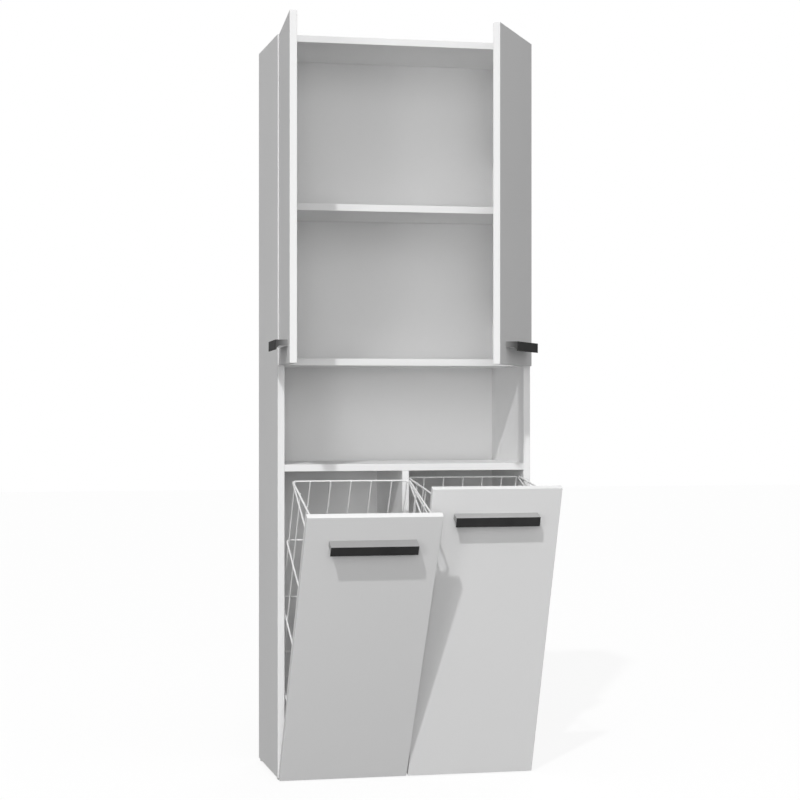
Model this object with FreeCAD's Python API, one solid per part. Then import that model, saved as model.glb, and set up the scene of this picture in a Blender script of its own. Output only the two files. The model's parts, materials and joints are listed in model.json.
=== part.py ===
import FreeCAD, Part
import math
import os
from FreeCAD import Placement, Rotation, Vector

# Tall bathroom cabinet with two doors, an open niche and two tilt-out hampers. All sizes in mm.
# X runs to the right, Y to the back and Z up. The origin is on the floor, at the middle of the sides' depth.

# Overall sizes
WIDTH = 600.0  # over both side panels
SIDE_HEIGHT = 1700.0
DEPTH = 300.0  # from the back to the face of a closed door
BOARD = 16.0
BACK_BOARD = 3.0
BACK_MARGIN = 2.0  # the back panel stays this far inside the outline
EDGE_ROUND = 1.0
GLIDE_HEIGHT = 6.0

# Clear spaces, from the bottom up
HAMPER_SPACE = 684.0
NICHE_SPACE = 227.0
SHELF_SHARE = 0.2  # space under the shelf, as a share of the sides' height
UNDER_SHELF = SHELF_SHARE * SIDE_HEIGHT
SHELF_SETBACK = 2.0
SHELF_PLAY = 0.5

# Doors and hamper fronts
REVEAL = 1.5  # along the cabinet's outline, and half of the gap between two fronts
FRONT_LIFT = 4.0  # hamper fronts end this far above the floor
FRONT_DROP = 3.0  # and this far below the top of the niche floor
SCREW_SPACING = 160.0  # of a handle

# How far each piece stands open, in degrees
LEFT_DOOR_OPEN = 95.0
RIGHT_DOOR_OPEN = 60.0
LEFT_HAMPER_OPEN = 30.0
RIGHT_HAMPER_OPEN = 20.0

# Concealed hinge
HINGE_EDGE = 7.0  # pin to the door's edge
HINGE_DEPTH = 9.0  # pin to the door's inner face
HINGE_CLEAR = 0.4  # the door's corner passes the carcass at this distance
CUP_RADIUS = 17.5
CUP_DEPTH = 12.5
CUP_WALL = 0.8
CUP_EDGE = 3.0  # wood between the cup and the door's edge
FLANGE = 1.2
FLANGE_HALF = 26.0
PIN_RADIUS = 1.1
PIN_CLEAR = 0.05
KNUCKLE_RADIUS = 2.2
NECK_HALF = 4.5
LUG = 1.5
ARM_SHEET = 1.6
ARM_BEND = 4.0
ARM_HALF = 9.0
ARM_LENGTH = 62.0
ARM_TAPER_GAP = 2.0  # carcass front to the start of the taper
PLATE_THICK = 3.0  # least height of the mounting plate
PLATE_HALF = 6.5
PLATE_SETBACK = 37.0  # screw line behind the carcass front
WING_HALF = 23.0
WING_SHEET = 2.0
WING_SCREW = 16.0
DOOR_HINGE_INSET = 100.0
HAMPER_HINGE_INSET = 60.0

# Handle, a metal bridge with a black lip along its front
HANDLE_LENGTH = 192.0
HANDLE_REACH = 27.5
LIP_THICK = 1.6
LIP_HEIGHT = 21.5
BRIDGE_THICK = 13.0
LIP_BACKING = 1.5
DOOR_HANDLE_UP = 30.0  # lip's lower edge above the door's lower edge
HAMPER_HANDLE_DOWN = 58.5  # lip's upper edge below the front's upper edge
HANDLE_SCREW_RADIUS = 1.95
HANDLE_SCREW_GRIP = 10.0
HANDLE_HEAD_RADIUS = 4.0
HANDLE_HEAD = 2.2

# Wire basket
UPRIGHT = 1.5  # radius of the upright and floor wires
LOOP = 1.9  # radius of the level loops
RIM = 2.2  # radius of the rim wire
WELD = 0.4  # how deep crossing wires sink into each other
LOOP_BEND = 9.0  # bend in a loop's corner, to the wire's middle
BASKET_SIDE_GAP = 4.0
BASKET_BACK_GAP = 14.0
BASKET_STANDOFF = 12.0
BASKET_LIFT = 135.0
RIM_SWING_GAP = 13.0  # the rear of the top loop passes this far below the niche floor
RIM_DROP = 26.0  # the front rim lies this far below the front's upper edge
BACK_GAPS = 6
END_GAP_SHARE = 0.15  # gap beside a corner, as a share of the wall
SIDE_GAPS = 3
LEVEL_GAPS = 3
CLIP_HALF = 9.0
CLIP_RISE = 6.0
CLIP_OVER = 4.0
CLIP_PLUG_RADIUS = 4.0
CLIP_PLUG = 9.0
CLIP_LEVELS = (1, 3)

# Board joints
CAM_RADIUS = 7.5
CAM_DEPTH = 12.5
CAM_BACKSET = 24.0
CAM_INSET = 45.0
CAM_SLOT = 1.4
CAM_SLOT_DEPTH = 2.0
BOLT_RADIUS = 3.0
BOLT_HEAD = 3.5
BOLT_BORE = 4.0
THREAD_RADIUS = 2.5
THREAD_LENGTH = 11.0
DOWEL_RADIUS = 4.0
DOWEL_IN_FACE = 10.0
DOWEL_IN_END = 19.0
DOWEL_OFFSET = 32.0
DOWEL_CHAMFER = 1.0
FIT = 0.1

# Small fittings
SHELF_PIN_RADIUS = 2.5
SHELF_PIN_DEPTH = 9.0
SHELF_LEDGE = 9.0
SHELF_PIN_INSET = 45.0
PIN_ROW_PITCH = 32.0
PIN_ROW_STEPS = (-2, -1, 1, 2)
BUMPER_RADIUS = 4.0
BUMPER_HEIGHT = 2.3
BUMPER_INSET = 25.0
GLIDE_RADIUS = 7.0
GLIDE_INSET = 16.0
GLIDE_NAIL_RADIUS = 1.0
GLIDE_NAIL = 12.0
BRACKET_SHEET = 2.0
BRACKET_LEG = 22.0
BRACKET_WIDTH = 30.0
BRACKET_BEND = 4.0
BRACKET_SPACING = 400.0
BRACKET_HOLE = 2.75
SCREW_RADIUS = 1.75
SCREW_LENGTH = 13.0
SCREW_HEAD_RADIUS = 3.5
SCREW_HEAD = 2.0

# Places that follow from the sizes
door_gap = math.hypot(HINGE_EDGE, HINGE_DEPTH) - HINGE_DEPTH + HINGE_CLEAR
side_depth = DEPTH - BOARD - door_gap - BACK_BOARD
y_front = -side_depth / 2
y_rear = side_depth / 2
y_inner = y_front - door_gap  # inner face of a closed door
y_pin = y_inner - HINGE_DEPTH
x_inner = WIDTH / 2 - BOARD
z_base = GLIDE_HEIGHT
z_bottom = z_base + BOARD
z_niche_floor = z_bottom + HAMPER_SPACE
z_niche = z_niche_floor + BOARD
z_niche_top = z_niche + NICHE_SPACE
z_upper = z_niche_top + BOARD
z_shelf = z_upper + UNDER_SHELF
z_top = z_base + SIDE_HEIGHT
front_width = WIDTH / 2 - 2 * REVEAL
z_door = (z_niche_top, z_top - REVEAL)
z_hamper = (FRONT_LIFT, z_niche - FRONT_DROP)
z_pin = FRONT_LIFT + HINGE_EDGE
x_pin = WIDTH / 2 - REVEAL - HINGE_EDGE
door_face = BOARD - REVEAL - HINGE_EDGE  # carcass face above the pin, across the hinge
hamper_face = z_bottom - z_pin
arm_reach = max(door_face, hamper_face) + PLATE_THICK
cup_middle = CUP_EDGE + CUP_RADIUS - HINGE_EDGE
cup_inner = CUP_RADIUS - CUP_WALL

X = Vector(1, 0, 0)
Y = Vector(0, 1, 0)
Z = Vector(0, 0, 1)
SIDES = (("left", -1), ("right", 1))

pieces = {}
cuts = {}


def add(name, *shapes):
    pieces.setdefault(name, []).extend(shapes)


def drill(name, *shapes):
    cuts.setdefault(name, []).extend(shapes)


def box(x, y, z):
    return Part.makeBox(x[1] - x[0], y[1] - y[0], z[1] - z[0], Vector(x[0], y[0], z[0]))


def rod(radius, start, end):
    return Part.makeCylinder(radius, (end - start).Length, start, end - start)


def fuse(shapes):
    return shapes[0].multiFuse(shapes[1:]).removeSplitter()


def prism(outline, depth):
    # Flat outline swept along a vector.
    return Part.Face(Part.Wire(outline)).extrude(depth)


def line(a, b):
    return Part.LineSegment(a, b).toShape()


def arc(a, middle, b):
    return Part.Arc(a, middle, b).toShape()


def carcass_board(x, y, z, along):
    # Board with its two long front edges rounded.
    shape = box(x, y, z)
    front = []
    for edge in shape.Edges:
        ends = [v.Point for v in edge.Vertexes]
        runs = (ends[1] - ends[0]).normalize()
        if abs(runs.dot(along)) > 0.9 and abs(ends[0].y - y[0]) < 0.01:
            front.append(edge)
    return shape.makeFillet(EDGE_ROUND, front)


def front_board(x, z):
    shape = box(x, (y_inner - BOARD, y_inner), z)
    return shape.makeFillet(EDGE_ROUND, shape.Edges)


def bent_strip(rise, run, sheet, bend, half):
    # Sheet strip that rises along Z, bends and runs along Y, centred on X.
    inside = bend - sheet
    slant = math.sqrt(0.5)
    centre = (bend, rise - bend)
    outer = (centre[0] - bend * slant, centre[1] + bend * slant)
    inner = (centre[0] - inside * slant, centre[1] + inside * slant)

    def at(y, z):
        return Vector(-half, y, z)

    outline = [
        line(at(0, 0), at(0, centre[1])),
        arc(at(0, centre[1]), at(*outer), at(bend, rise)),
        line(at(bend, rise), at(run, rise)),
        line(at(run, rise), at(run, rise - sheet)),
        line(at(run, rise - sheet), at(bend, rise - sheet)),
        arc(at(bend, rise - sheet), at(*inner), at(sheet, centre[1])),
        line(at(sheet, centre[1]), at(sheet, 0)),
        line(at(sheet, 0), at(0, 0)),
    ]
    return prism(outline, Vector(2 * half, 0, 0))


def turned(profile, start, direction):
    # Solid of revolution from (radius, height) points, its heights along a direction.
    points = [Vector(r, 0, h) for r, h in profile]
    points.append(points[0])
    face = Part.Face(Part.makePolygon(points))
    solid = face.revolve(Vector(0, 0, 0), Z, 360)
    solid.Placement = Placement(start, Rotation(Z, direction))
    return solid


def wood_screw(seat, direction, grip, board):
    # Pan-head screw from its seat through a sheet of the given thickness into a board.
    tip = grip + SCREW_LENGTH
    neck = SCREW_HEAD_RADIUS * 0.8
    profile = [
        (0, -SCREW_HEAD),
        (neck, -SCREW_HEAD),
        (SCREW_HEAD_RADIUS, -SCREW_HEAD * 0.4),
        (SCREW_HEAD_RADIUS, 0),
        (SCREW_RADIUS, 0),
        (SCREW_RADIUS, tip - 2 * SCREW_RADIUS),
        (0, tip),
    ]
    add("wood_screws", turned(profile, seat, direction))
    drill(board, rod(SCREW_RADIUS + FIT, seat, seat + direction * (tip + FIT)))


# Carcass boards
full_depth = (y_front, y_rear)
between = (-x_inner, x_inner)
for side, sign in SIDES:
    xs = sorted((sign * x_inner, sign * WIDTH / 2))
    add("side_panel_" + side, carcass_board(xs, full_depth, (z_base, z_top), Z))
for name, low in (
    ("bottom_panel", z_base),
    ("niche_floor_panel", z_niche_floor),
    ("niche_top_panel", z_niche_top),
    ("top_panel", z_top - BOARD),
):
    add(name, carcass_board(between, full_depth, (low, low + BOARD), X))
add("hamper_divider", carcass_board((-BOARD / 2, BOARD / 2), full_depth, (z_bottom, z_niche_floor), Z))
shelf_front = y_front + SHELF_SETBACK
shelf_x = (-x_inner + SHELF_PLAY, x_inner - SHELF_PLAY)
add("upper_shelf", carcass_board(shelf_x, (shelf_front, y_rear - SHELF_PLAY), (z_shelf, z_shelf + BOARD), X))
back_x = (-WIDTH / 2 + BACK_MARGIN, WIDTH / 2 - BACK_MARGIN)
add("back_panel", box(back_x, (y_rear, y_rear + BACK_BOARD), (z_base + BACK_MARGIN, z_top - BACK_MARGIN)))


# Board joints: cams and dowels near the front and the rear of every board end
def cam_joint(face_board, end_board, point, inward, cam_side):
    centre = point + inward * CAM_BACKSET
    mouth = centre + cam_side * (BOARD / 2)
    floor = mouth - cam_side * CAM_DEPTH
    bore = rod(BOLT_BORE, point, centre)
    drill(end_board, rod(CAM_RADIUS, mouth, floor), bore)
    cam = rod(CAM_RADIUS - FIT, mouth - cam_side * FIT, floor)
    across = inward.cross(cam_side)
    slot_corner = Vector(-CAM_SLOT / 2, -CAM_RADIUS / 2, -CAM_SLOT_DEPTH)
    slot = Part.makeBox(CAM_SLOT, CAM_RADIUS, CAM_SLOT_DEPTH, slot_corner)
    cross = slot.fuse(slot.copy().rotated(Vector(0, 0, 0), Z, 90))
    cross.Placement = Placement(mouth - cam_side * FIT, Rotation(inward, across, cam_side, "ZXY"))
    cam = cam.cut(rod(BOLT_BORE, point, centre + inward * BOLT_BORE)).cut(cross)
    add("cam_locks", cam)
    profile = [
        (0, -THREAD_LENGTH),
        (THREAD_RADIUS, -THREAD_LENGTH),
        (THREAD_RADIUS, 0),
        (BOLT_RADIUS, 0),
        (BOLT_RADIUS, CAM_BACKSET - BOLT_HEAD),
        (BOLT_HEAD, CAM_BACKSET - BOLT_HEAD / 2),
        (BOLT_HEAD, CAM_BACKSET + BOLT_HEAD / 2),
        (0, CAM_BACKSET + BOLT_HEAD),
    ]
    add("cam_bolts", turned(profile, point, inward))
    drill(face_board, rod(THREAD_RADIUS + FIT, point - inward * (THREAD_LENGTH + FIT), point))


def dowel_joint(face_board, end_board, point, inward):
    low = point - inward * DOWEL_IN_FACE
    high = point + inward * DOWEL_IN_END
    dowel = rod(DOWEL_RADIUS, low, high)
    add("dowels", dowel.makeChamfer(DOWEL_CHAMFER, [e for e in dowel.Edges if len(e.Vertexes) == 1]))
    drill(face_board, rod(DOWEL_RADIUS + FIT, low - inward * FIT, point))
    drill(end_board, rod(DOWEL_RADIUS + FIT, point, high + inward * FIT))


def corner(face_board, end_board, point, inward, cam_side):
    for cam_y, step in ((y_front + CAM_INSET, 1), (y_rear - CAM_INSET, -1)):
        at_cam = Vector(point.x, cam_y, point.z)
        cam_joint(face_board, end_board, at_cam, inward, cam_side)
        dowel_joint(face_board, end_board, at_cam + Y * (step * DOWEL_OFFSET), inward)


for name, middle, cam_side in (
    ("bottom_panel", z_base + BOARD / 2, -Z),
    ("niche_floor_panel", z_niche_floor + BOARD / 2, -Z),
    ("niche_top_panel", z_niche_top + BOARD / 2, Z),
    ("top_panel", z_top - BOARD / 2, Z),
):
    for side, sign in SIDES:
        corner("side_panel_" + side, name, Vector(sign * x_inner, 0, middle), X * -sign, cam_side)
corner("niche_floor_panel", "hamper_divider", Vector(0, 0, z_niche_floor), -Z, X)
corner("bottom_panel", "hamper_divider", Vector(0, 0, z_bottom), Z, X)

# Shelf pins, with spare holes above and below for other shelf heights
for side, sign in SIDES:
    for y in (shelf_front + SHELF_PIN_INSET, y_rear - SHELF_PIN_INSET):
        middle = Vector(sign * x_inner, y, z_shelf - SHELF_PIN_RADIUS)
        pin = rod(SHELF_PIN_RADIUS, middle + X * (sign * SHELF_PIN_DEPTH), middle)
        ledge_x = sorted((sign * x_inner, sign * (x_inner - SHELF_LEDGE)))
        ledge_y = (y - SHELF_LEDGE / 2, y + SHELF_LEDGE / 2)
        ledge = box(ledge_x, ledge_y, (z_shelf - 2 * SHELF_PIN_RADIUS, z_shelf))
        add("shelf_pins", fuse([pin, ledge]))
        for step in (0,) + PIN_ROW_STEPS:
            start = middle + Z * (step * PIN_ROW_PITCH)
            depth = X * (sign * (SHELF_PIN_DEPTH + FIT))
            drill("side_panel_" + side, rod(SHELF_PIN_RADIUS + FIT, start, start + depth))

# Floor glides: one under each end of both sides and one under the middle of the bottom
side_middle = WIDTH / 2 - BOARD / 2
glide_spots = [("bottom_panel", 0.0, 0.0)]
for side, sign in SIDES:
    for y in (y_front + GLIDE_INSET, y_rear - GLIDE_INSET):
        glide_spots.append(("side_panel_" + side, sign * side_middle, y))
for board, x, y in glide_spots:
    foot = Vector(x, y, 0)
    top = foot + Z * GLIDE_HEIGHT
    disc = rod(GLIDE_RADIUS, foot, top)
    lower = [e for e in disc.Edges if len(e.Vertexes) == 1 and e.CenterOfMass.z < GLIDE_HEIGHT / 2]
    disc = disc.makeFillet(GLIDE_HEIGHT / 4, lower)
    nail = rod(GLIDE_NAIL_RADIUS, top, top + Z * GLIDE_NAIL)
    add("floor_glides", fuse([disc, nail]))
    drill(board, rod(GLIDE_NAIL_RADIUS + FIT, top, top + Z * (GLIDE_NAIL + FIT)))

# Wall brackets on top, at the rear, each with a hole for a wall screw
wall = y_rear + BACK_BOARD
for sign in (-1, 1):
    x = sign * BRACKET_SPACING / 2
    bracket = bent_strip(BRACKET_LEG, BRACKET_LEG, BRACKET_SHEET, BRACKET_BEND, BRACKET_WIDTH / 2)
    bracket.rotate(Vector(0, 0, 0), X, 180)
    bracket.translate(Vector(x, wall, z_top + BRACKET_LEG))
    seat = Vector(x, wall - BRACKET_LEG * 0.6, z_top + BRACKET_SHEET)
    hole = Vector(x, wall, z_top + BRACKET_LEG * 0.6)
    screw_hole = rod(SCREW_RADIUS + FIT, seat, seat - Z * BRACKET_SHEET)
    wall_hole = rod(BRACKET_HOLE, hole, hole - Y * BRACKET_SHEET)
    add("wall_brackets", bracket.cut(screw_hole).cut(wall_hole))
    wood_screw(seat, -Z, BRACKET_SHEET, "top_panel")


# Hinge pieces, drawn about the pin: X along it, Y into the cabinet, Z from the door's edge to its middle
carcass_front = HINGE_DEPTH + door_gap
lug_inner = NECK_HALF + 3 * FIT
lug_outer = lug_inner + LUG
cup_floor = HINGE_DEPTH - CUP_DEPTH


def hinge_arm(face):
    taper_start = carcass_front + ARM_TAPER_GAP
    taper_end = taper_start + ARM_HALF
    top = arm_reach + ARM_SHEET
    neck = bent_strip(top, taper_end + KNUCKLE_RADIUS, ARM_SHEET, ARM_BEND, NECK_HALF)
    neck.translate(Vector(0, -KNUCKLE_RADIUS, 0))
    knuckle = rod(KNUCKLE_RADIUS, Vector(-NECK_HALF, 0, 0), Vector(NECK_HALF, 0, 0))
    corners = [
        Vector(-NECK_HALF, taper_start, arm_reach),
        Vector(NECK_HALF, taper_start, arm_reach),
        Vector(ARM_HALF, taper_end, arm_reach),
        Vector(ARM_HALF, carcass_front + ARM_LENGTH, arm_reach),
        Vector(-ARM_HALF, carcass_front + ARM_LENGTH, arm_reach),
        Vector(-ARM_HALF, taper_end, arm_reach),
    ]
    roof = Part.Face(Part.makePolygon(corners + corners[:1])).extrude(Z * ARM_SHEET)
    parts = [neck, knuckle, roof]
    low = face + WING_SHEET + 2 * FIT
    for sign in (-1, 1):
        x = sorted((sign * ARM_HALF, sign * (ARM_HALF - ARM_SHEET)))
        parts.append(box(x, (taper_end, carcass_front + ARM_LENGTH), (low, top)))
    bore = rod(PIN_RADIUS + PIN_CLEAR, Vector(-NECK_HALF, 0, 0), Vector(NECK_HALF, 0, 0))
    return fuse(parts).cut(bore)


def hinge_plate(face):
    screw_line = carcass_front + PLATE_SETBACK
    body_y = (carcass_front + PLATE_SETBACK / 2, carcass_front + ARM_LENGTH - WING_SHEET)
    body = box((-PLATE_HALF, PLATE_HALF), body_y, (face, arm_reach))
    wing_y = (screw_line - PLATE_HALF, screw_line + PLATE_HALF)
    wings = box((-WING_HALF, WING_HALF), wing_y, (face, face + WING_SHEET))
    wings = wings.makeFillet(PLATE_HALF / 2, [e for e in wings.Edges if abs(e.tangentAt(0).z) > 0.9])
    plate = fuse([body, wings])
    for sign in (-1, 1):
        seat = Vector(sign * WING_SCREW, screw_line, face + WING_SHEET)
        plate = plate.cut(rod(SCREW_RADIUS + FIT, seat, seat - Z * WING_SHEET))
    return plate


def hinge_cup():
    def at(depth):
        return Vector(0, depth, cup_middle)

    rim = HINGE_DEPTH + FLANGE
    pot = rod(CUP_RADIUS - FIT, at(cup_floor), at(rim))
    disc = rod(CUP_RADIUS + FLANGE, at(HINGE_DEPTH), at(rim))
    ear = CUP_RADIUS / 2
    ears = box((-FLANGE_HALF, FLANGE_HALF), (HINGE_DEPTH, rim), (cup_middle - ear, cup_middle + ear))
    ears = ears.makeFillet(ear / 2, [e for e in ears.Edges if abs(e.tangentAt(0).y) > 0.9])
    hollow = rod(cup_inner, at(cup_floor + CUP_WALL), at(rim))
    cup = fuse([pot, disc, ears]).cut(hollow)
    lugs = []
    for sign in (-1, 1):
        x = sorted((sign * lug_inner, sign * lug_outer))
        lug = box(x, (cup_floor, 2 * PIN_RADIUS), (-2 * KNUCKLE_RADIUS, 2 * PIN_RADIUS))
        lugs.append(lug.common(rod(CUP_RADIUS - 2 * FIT, at(cup_floor), at(rim))))
    cup = fuse([cup] + lugs)
    return cup.cut(rod(PIN_RADIUS + PIN_CLEAR, Vector(-lug_outer, 0, 0), Vector(lug_outer, 0, 0)))


def hinge(front, kind, board, face, pin_centre, away):
    # One hinge, placed by its pin, between a front panel and a carcass board.
    place = Placement(pin_centre, Rotation(Y.cross(away), Y, away, "ZYX"))

    def put(shape):
        shape.Placement = place.multiply(shape.Placement)
        return shape

    body = front.rsplit("_", 1)[0]
    add(kind + "_hinge_arms", put(hinge_arm(face)))
    add(kind + "_hinge_plates", put(hinge_plate(face)))
    add(body + "_hinge_cups", put(hinge_cup()))
    add(body + "_hinge_pins", put(rod(PIN_RADIUS, Vector(-lug_outer, 0, 0), Vector(lug_outer, 0, 0))))
    mouth = Vector(0, HINGE_DEPTH, cup_middle)
    drill(front, put(rod(CUP_RADIUS, mouth - Y * (CUP_DEPTH + FIT), mouth)))
    for sign in (-1, 1):
        seat = Vector(sign * WING_SCREW, carcass_front + PLATE_SETBACK, face + WING_SHEET)
        wood_screw(place.multVec(seat), -away, WING_SHEET, board)


# Handles and bumpers, drawn on closed fronts
def handle(body, front, x_middle, lip_top):
    x_start = x_middle - HANDLE_LENGTH / 2
    y_outer = y_inner - BOARD
    depth = HANDLE_REACH - LIP_THICK
    hollow = LIP_HEIGHT - BRIDGE_THICK
    inner = depth - LIP_BACKING
    slant = hollow * math.sqrt(0.5)

    def at(out, down):
        return Vector(x_start, y_outer - out, lip_top - down)

    outline = [
        line(at(0, 0), at(depth, 0)),
        line(at(depth, 0), at(depth, LIP_HEIGHT)),
        line(at(depth, LIP_HEIGHT), at(inner, LIP_HEIGHT)),
        arc(
            at(inner, LIP_HEIGHT),
            at(inner - hollow + slant, LIP_HEIGHT - slant),
            at(inner - hollow, BRIDGE_THICK),
        ),
        line(at(inner - hollow, BRIDGE_THICK), at(0, BRIDGE_THICK)),
        line(at(0, BRIDGE_THICK), at(0, 0)),
    ]
    bridge = prism(outline, X * HANDLE_LENGTH)
    lip_y = (y_outer - HANDLE_REACH, y_outer - depth)
    lip = box((x_start, x_start + HANDLE_LENGTH), lip_y, (lip_top - LIP_HEIGHT, lip_top))
    outer = [e for e in lip.Edges if e.BoundBox.YMax < y_outer - depth - FIT]
    add(body + "_handle_lip", lip.makeFillet(LIP_THICK / 8, outer))
    screw_profile = [
        (0, -HANDLE_HEAD),
        (HANDLE_HEAD_RADIUS * 0.7, -HANDLE_HEAD),
        (HANDLE_HEAD_RADIUS, -HANDLE_HEAD * 0.4),
        (HANDLE_HEAD_RADIUS, 0),
        (HANDLE_SCREW_RADIUS, 0),
        (HANDLE_SCREW_RADIUS, BOARD + HANDLE_SCREW_GRIP),
        (0, BOARD + HANDLE_SCREW_GRIP),
    ]
    for sign in (-1, 1):
        seat = Vector(x_middle + sign * SCREW_SPACING / 2, y_inner, lip_top - BRIDGE_THICK / 2)
        add(body + "_handle_screws", turned(screw_profile, seat, -Y))
        through = seat - Y * BOARD
        drill(front, rod(HANDLE_SCREW_RADIUS + 2 * FIT, seat, through))
        grip = HANDLE_SCREW_GRIP + FIT
        bridge = bridge.cut(rod(HANDLE_SCREW_RADIUS + PIN_CLEAR, through, through - Y * grip))
    add(body + "_handle", bridge)


def bumper(body, x, z):
    profile = [
        (0, 0),
        (BUMPER_RADIUS, 0),
        (BUMPER_RADIUS * 0.95, BUMPER_HEIGHT * 0.5),
        (BUMPER_RADIUS * 0.7, BUMPER_HEIGHT * 0.9),
        (0, BUMPER_HEIGHT),
    ]
    add(body + "_bumpers", turned(profile, Vector(x, y_inner, z), Y))


# Doors
for side, sign in SIDES:
    body = side + "_door"
    panel = body + "_panel"
    xs = sorted((sign * REVEAL, sign * (REVEAL + front_width)))
    add(panel, front_board(xs, z_door))
    handle(body, panel, sum(xs) / 2, z_door[0] + DOOR_HANDLE_UP + LIP_HEIGHT)
    for z in (z_door[0] + DOOR_HINGE_INSET, z_door[1] - DOOR_HINGE_INSET):
        pin = Vector(sign * x_pin, y_pin, z)
        hinge(panel, "door", "side_panel_" + side, door_face, pin, X * -sign)
    for z in (z_niche_top + BOARD / 2, z_top - BOARD / 2):
        bumper(body, sign * (REVEAL + BUMPER_INSET), z)

# Basket, welded from flat grids: level loops on the outside, uprights on the inside
lap = UPRIGHT + LOOP - WELD  # between the middles of an upright and a loop
extra = RIM - LOOP


def spread(start, end, gaps):
    # Evenly spaced places from start to end.
    count = round(gaps)
    return [start + (end - start) * i / count for i in range(count + 1)]


def wire(radius, start, end):
    return rod(radius, Vector(*start), Vector(*end))


def bow(x, y, z, way, radius):
    # End of a loop: a straight wire at (y, z) with both corners bent the given way in the YZ plane.
    turn = LOOP_BEND
    slant = turn * math.sqrt(0.5)

    def at(place, out):
        return Vector(place, y + way[0] * out, z + way[1] * out)

    path = [
        arc(at(x[0], turn), at(x[0] + turn - slant, turn - slant), at(x[0] + turn, 0)),
        line(at(x[0] + turn, 0), at(x[1] - turn, 0)),
        arc(at(x[1] - turn, 0), at(x[1] - turn + slant, turn - slant), at(x[1], turn)),
    ]
    circle = Part.Circle(at(x[0], turn), Vector(0, way[0], way[1]), radius).toShape()
    return Part.Wire(path).makePipeShell([Part.Wire([circle])], True, False)


def basket(x):
    # Grids for a basket whose loops run between two X places, with its hamper closed.
    y = (y_inner + BASKET_STANDOFF, y_rear - BASKET_BACK_GAP)
    reach = z_niche_floor - RIM_SWING_GAP - z_pin
    low = z_bottom + BASKET_LIFT
    high = z_pin + math.sqrt(reach**2 - (y[1] + LOOP - y_pin) ** 2) - LOOP
    levels = spread(low, high, LEVEL_GAPS)
    rim_x = (x[0] - extra, x[1] + extra)
    rim_start = Vector(0, y[0] - extra, z_hamper[1] - RIM_DROP)
    rim_end = Vector(0, y[1] - LOOP_BEND, high + LOOP + RIM - WELD)
    slope = (rim_end - rim_start).normalize()
    inset = LOOP_BEND - (LOOP_BEND - lap) * math.sqrt(0.5)  # corner uprights stand inside the bends
    across = (x[0] + inset, x[1] - inset)
    end_gap = END_GAP_SHARE * (x[1] - x[0])
    columns = [across[0]] + spread(x[0] + end_gap, x[1] - end_gap, BACK_GAPS - 2) + [across[1]]
    into = (y[0] + inset, y[1] - inset)
    rows = spread(into[0], into[1], SIDE_GAPS)[1:-1]
    foot = low - LOOP

    def end_wall(loop_y, way, top):
        parts = []
        for column in columns:
            place = loop_y + way * (inset if column in across else lap)
            parts.append(wire(UPRIGHT, (column, place, foot), (column, place, top)))
        for level in levels:
            parts.append(bow(x, loop_y, level, (way, 0), LOOP))
        return parts

    back = fuse(end_wall(y[1], -1, high + UPRIGHT / 2))
    front_parts = end_wall(y[0], 1, rim_start.z + UPRIGHT / 2)
    front_parts.append(bow(rim_x, rim_start.y, rim_start.z, (slope.y, slope.z), RIM))
    front = fuse(front_parts)
    rim_bend = rim_start + slope * LOOP_BEND
    sides = []
    for i, sign in ((0, 1), (1, -1)):
        parts = []
        for row in rows:
            place = x[i] + sign * lap
            top = rim_start.z + slope.z / slope.y * (row - rim_start.y) + UPRIGHT / 2
            parts.append(wire(UPRIGHT, (place, row, foot), (place, row, top)))
        for level in levels:
            parts.append(wire(LOOP, (x[i], y[0] + LOOP_BEND, level), (x[i], y[1] - LOOP_BEND, level)))
        rim = X * rim_x[i]
        parts.append(rod(RIM, rim + rim_bend, rim + rim_end))
        sides.append(fuse(parts))
    parts = []
    for column in columns[1:-1]:
        parts.append(wire(UPRIGHT, (column, y[0], low - lap), (column, y[1], low - lap)))
    under = low - lap - 2 * UPRIGHT + WELD
    for row in rows:
        parts.append(wire(UPRIGHT, (across[0], row, under), (across[1], row, under)))
    bottom = fuse(parts).cut([back, front])
    clips = []
    for index in CLIP_LEVELS:
        for gap in (1, len(columns) - 3):
            clips.append(Vector((columns[gap] + columns[gap + 1]) / 2, y[0], levels[index]))
    return {"back": [back], "front": [front], "sides": sides, "bottom": [bottom]}, clips


def clip(front, middle):
    xs = (middle.x - CLIP_HALF, middle.x + CLIP_HALF)
    block = box(xs, (y_inner, middle.y + CLIP_OVER), (middle.z - CLIP_RISE, middle.z + CLIP_RISE))
    block = block.makeFillet(CLIP_RISE / 3, [e for e in block.Edges if abs(e.tangentAt(0).y) > 0.9])
    seat = Vector(middle.x, y_inner, middle.z)
    plug = rod(CLIP_PLUG_RADIUS, seat, seat - Y * CLIP_PLUG)
    drill(front, rod(CLIP_PLUG_RADIUS + FIT, seat, seat - Y * (CLIP_PLUG + FIT)))
    groove = wire(LOOP + FIT, (xs[0], middle.y, middle.z), (xs[1], middle.y, middle.z))
    mouth_z = (middle.z - LOOP * 0.8, middle.z + LOOP * 0.8)
    mouth = box(xs, (middle.y, middle.y + CLIP_OVER), mouth_z)
    return fuse([block, plug]).cut(groove).cut(mouth)


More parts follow.
